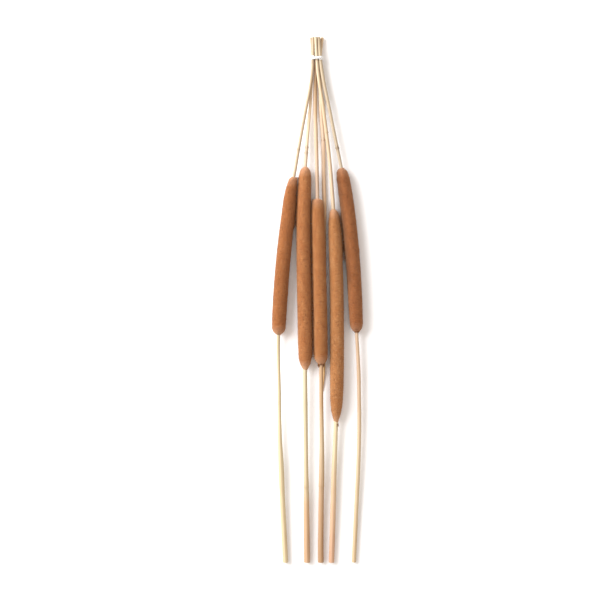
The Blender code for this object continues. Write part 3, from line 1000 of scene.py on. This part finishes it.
def pith():
    """Dry white plant foam, cut through: matte and full of small cells."""
    material, tree, shader = new_material("dry pith")
    coords = add_node(tree, "ShaderNodeTexCoord").outputs["Object"]
    cells = add_node(tree, "ShaderNodeTexVoronoi", {"Vector": coords, "Scale": 1 / PITH_CELL})
    colour = add_node(tree, "ShaderNodeMix", {0: cells.outputs["Distance"], 6: linear("#E9DCC0"),
                                              7: linear("#FBF6EA")}, data_type="RGBA")
    bump = add_node(tree, "ShaderNodeBump", {"Height": cells.outputs["Distance"], "Strength": 0.6,
                                             "Distance": 0.2 * MM})
    tree.links.new(colour.outputs[2], shader.inputs["Base Color"])
    tree.links.new(bump.outputs[0], shader.inputs["Normal"])
    shader.inputs["Roughness"].default_value = 0.9
    return material


# Colour stops in mm along each stem. Mostly the skin's own colour, but the stops near the tie, on stem_2
# under stem_1 and on the bare stem beside stem_3 are lighter to make up for shade: painted light.
STEM_COLOURS_AND_PAINTED_LIGHT = {
    "stem_1": [(263, "#B09B80"), (150, "#AF9B82"), (-60, "#BBAB8A"), (-150, "#C4B492"),
               (-263, "#CAB795")],
    "stem_2": [(263, "#A59178"), (225, "#D7C3A7"), (190, "#D7C3A5"), (150, "#B9A48D"),
               (-90, "#BEB294"), (-180, "#BEAB8C"), (-200, "#BE9D7C"), (-263, "#B99779")],
    "stem_3": [(263, "#D3BAAA"), (232, "#AE8F6C"), (190, "#BFA78B"), (120, "#B39883"),
               (-80, "#B19270"), (-130, "#B6A285"), (-200, "#B18F6F"), (-263, "#A38060")],
    "stem_4": [(263, "#C5B69D"), (215, "#C1AA8B"), (135, "#C2AB91"), (-130, "#CAB998"), (-190, "#C7A88A"),
               (-263, "#BE9479")],
    "stem_5": [(263, "#B09F84"), (150, "#A99984"), (-45, "#BEA287"), (-160, "#C2AF91"),
               (-263, "#C5AB88")],
    "bare_stem": [(263, "#C9AF8E"), (180, "#DFC7B0"), (110, "#D6B491"), (-60, "#D9B581"),
                  (-95, "#D7AE7A")],
}
dry_pith = pith()
for name in STEMS:
    obj = stem_pieces[name]
    obj.data.materials.append(stem_skin("dried skin " + name, STEM_COLOURS_AND_PAINTED_LIGHT[name], LEAF_SCARS[name],
                                        SCAR_STRENGTH[name]))
    obj.data.materials.append(dry_pith)
    for face in obj.data.polygons:
        if len(face.vertices) == STEM_SIDES and abs(face.normal.y) > END_FACING:
            face.material_index = 1
print("skin: streaks", round(STREAK_WIDTH / MM, 2), "mm wide and", round(STREAK_LENGTH / MM), "mm long")

# %% [markdown]
# ## Cotton and board
# The string is bleached cotton: white, matte and slightly soft at its edge, which a little sheen gives.
# The board under the bunch is plain matte white, so that it only carries the shadows.

# %% Cotton and board
# Real cotton fibres are a tenth as thick and wouldn't show, so the fuzz is drawn coarser.
FIBRE = 0.25 * MM


def bleached_cotton():
    """Bleached cotton, spun and twisted: white, matte, with a faint soft edge."""
    material, tree, shader = new_material("bleached cotton")
    coords = add_node(tree, "ShaderNodeTexCoord").outputs["Object"]
    fibres = add_node(tree, "ShaderNodeTexNoise", {"Vector": coords, "Scale": 1 / FIBRE, "Detail": 2.0})
    colour = add_node(tree, "ShaderNodeMix", {0: fibres.outputs["Fac"], 6: linear("#E4E4E6"),
                                              7: linear("#FCFCFD")}, data_type="RGBA")
    bump = add_node(tree, "ShaderNodeBump", {"Height": fibres.outputs["Fac"], "Strength": 0.4,
                                             "Distance": 0.08 * MM})
    tree.links.new(colour.outputs[2], shader.inputs["Base Color"])
    tree.links.new(bump.outputs[0], shader.inputs["Normal"])
    shader.inputs["Roughness"].default_value = 0.85
    shader.inputs["Sheen Weight"].default_value = 0.3
    return material


def white_board():
    """Plain matte white board for the floor."""
    material, tree, shader = new_material("white board")
    shader.inputs["Base Color"].default_value = linear("#F9FAFE")
    shader.inputs["Roughness"].default_value = 0.9
    shader.inputs["Specular IOR Level"].default_value = 0.2
    return material


string.data.materials.append(bleached_cotton())
floor.data.materials.append(white_board())
print("cotton fuzz drawn at", round(FIBRE / MM, 2), "mm")

# %% [markdown]
# ## Riding on the body
# Each piece rides on the bunch's one body and takes the place of its plain solid. The velvet and the
# tufts have no solid of their own, so they only ride.

# %% Ride and replace
for name in STEMS:
    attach(stem_pieces[name], "root")
    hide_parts(name)
for name in SPIKES:
    for obj in (spike_bodies[name], spike_naps[name], spike_tufts[name]):
        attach(obj, "root")
    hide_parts(name)
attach(string, "root")
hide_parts("tie")
